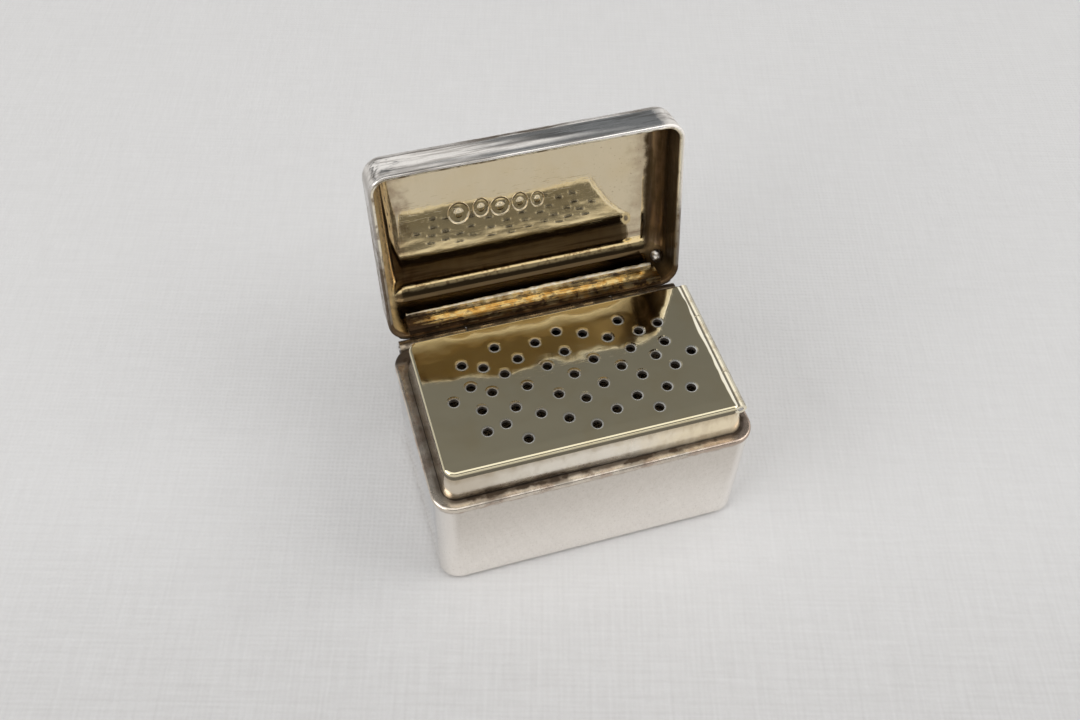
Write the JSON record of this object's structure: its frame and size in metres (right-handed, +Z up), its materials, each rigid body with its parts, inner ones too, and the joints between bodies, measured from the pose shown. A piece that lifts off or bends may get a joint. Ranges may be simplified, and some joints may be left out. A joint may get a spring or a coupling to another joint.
{
  "type": "vinaigrette",
  "caption": "Small oblong silver vinaigrette with a hinged lid standing open, a gilt inside and a hinged pierced grille over a sponge.",
  "frame": {"origin": "middle of the flat base, at the surface it stands on", "axes": "+X along the width towards the grille's hinge, +Y from the front towards the lid's hinge, +Z up"},
  "size_m": [0.0322, 0.03, 0.0329],
  "materials": {
    "polished_silver": "polished, worn",
    "silver_gilt": "polished, tarnished in the corners",
    "pin_steel": "drawn wire",
    "sponge": "open-pored"
  },
  "bodies": {
    "body": {"base_pan": "polished_silver", "body_wall": "polished_silver", "ledge_frame": "polished_silver", "collar": "silver_gilt", "body_bearer": "polished_silver", "body_knuckle_left": "polished_silver", "body_knuckle_right": "polished_silver", "lid_hinge_pin": "pin_steel", "pin_plug_left": "polished_silver", "pin_plug_right": "polished_silver", "collar_knuckle_front": "silver_gilt", "collar_knuckle_back": "silver_gilt", "grille_hinge_pin": "pin_steel", "sponge": "sponge"},
    "lid": {"lid_panel": "polished_silver", "lid_band": "polished_silver", "lid_bearer": "silver_gilt", "lid_knuckle": "polished_silver"},
    "grille": {"grille_plate": "silver_gilt", "grille_knuckle": "silver_gilt"}
  },
  "joints": [
    {"name": "lid_hinge", "type": "hinge", "parent": "body", "child": "lid", "pos_m": [0, 0.01037, 0.01332], "axis": [1, 0, 0], "range_deg": [0, 101.5]},
    {"name": "grille_hinge", "type": "hinge", "parent": "body", "child": "grille", "pos_m": [0.01435, -0.00055, 0.01715], "axis": [0, 1, 0], "range_deg": [0, 1.2]}
  ]
}
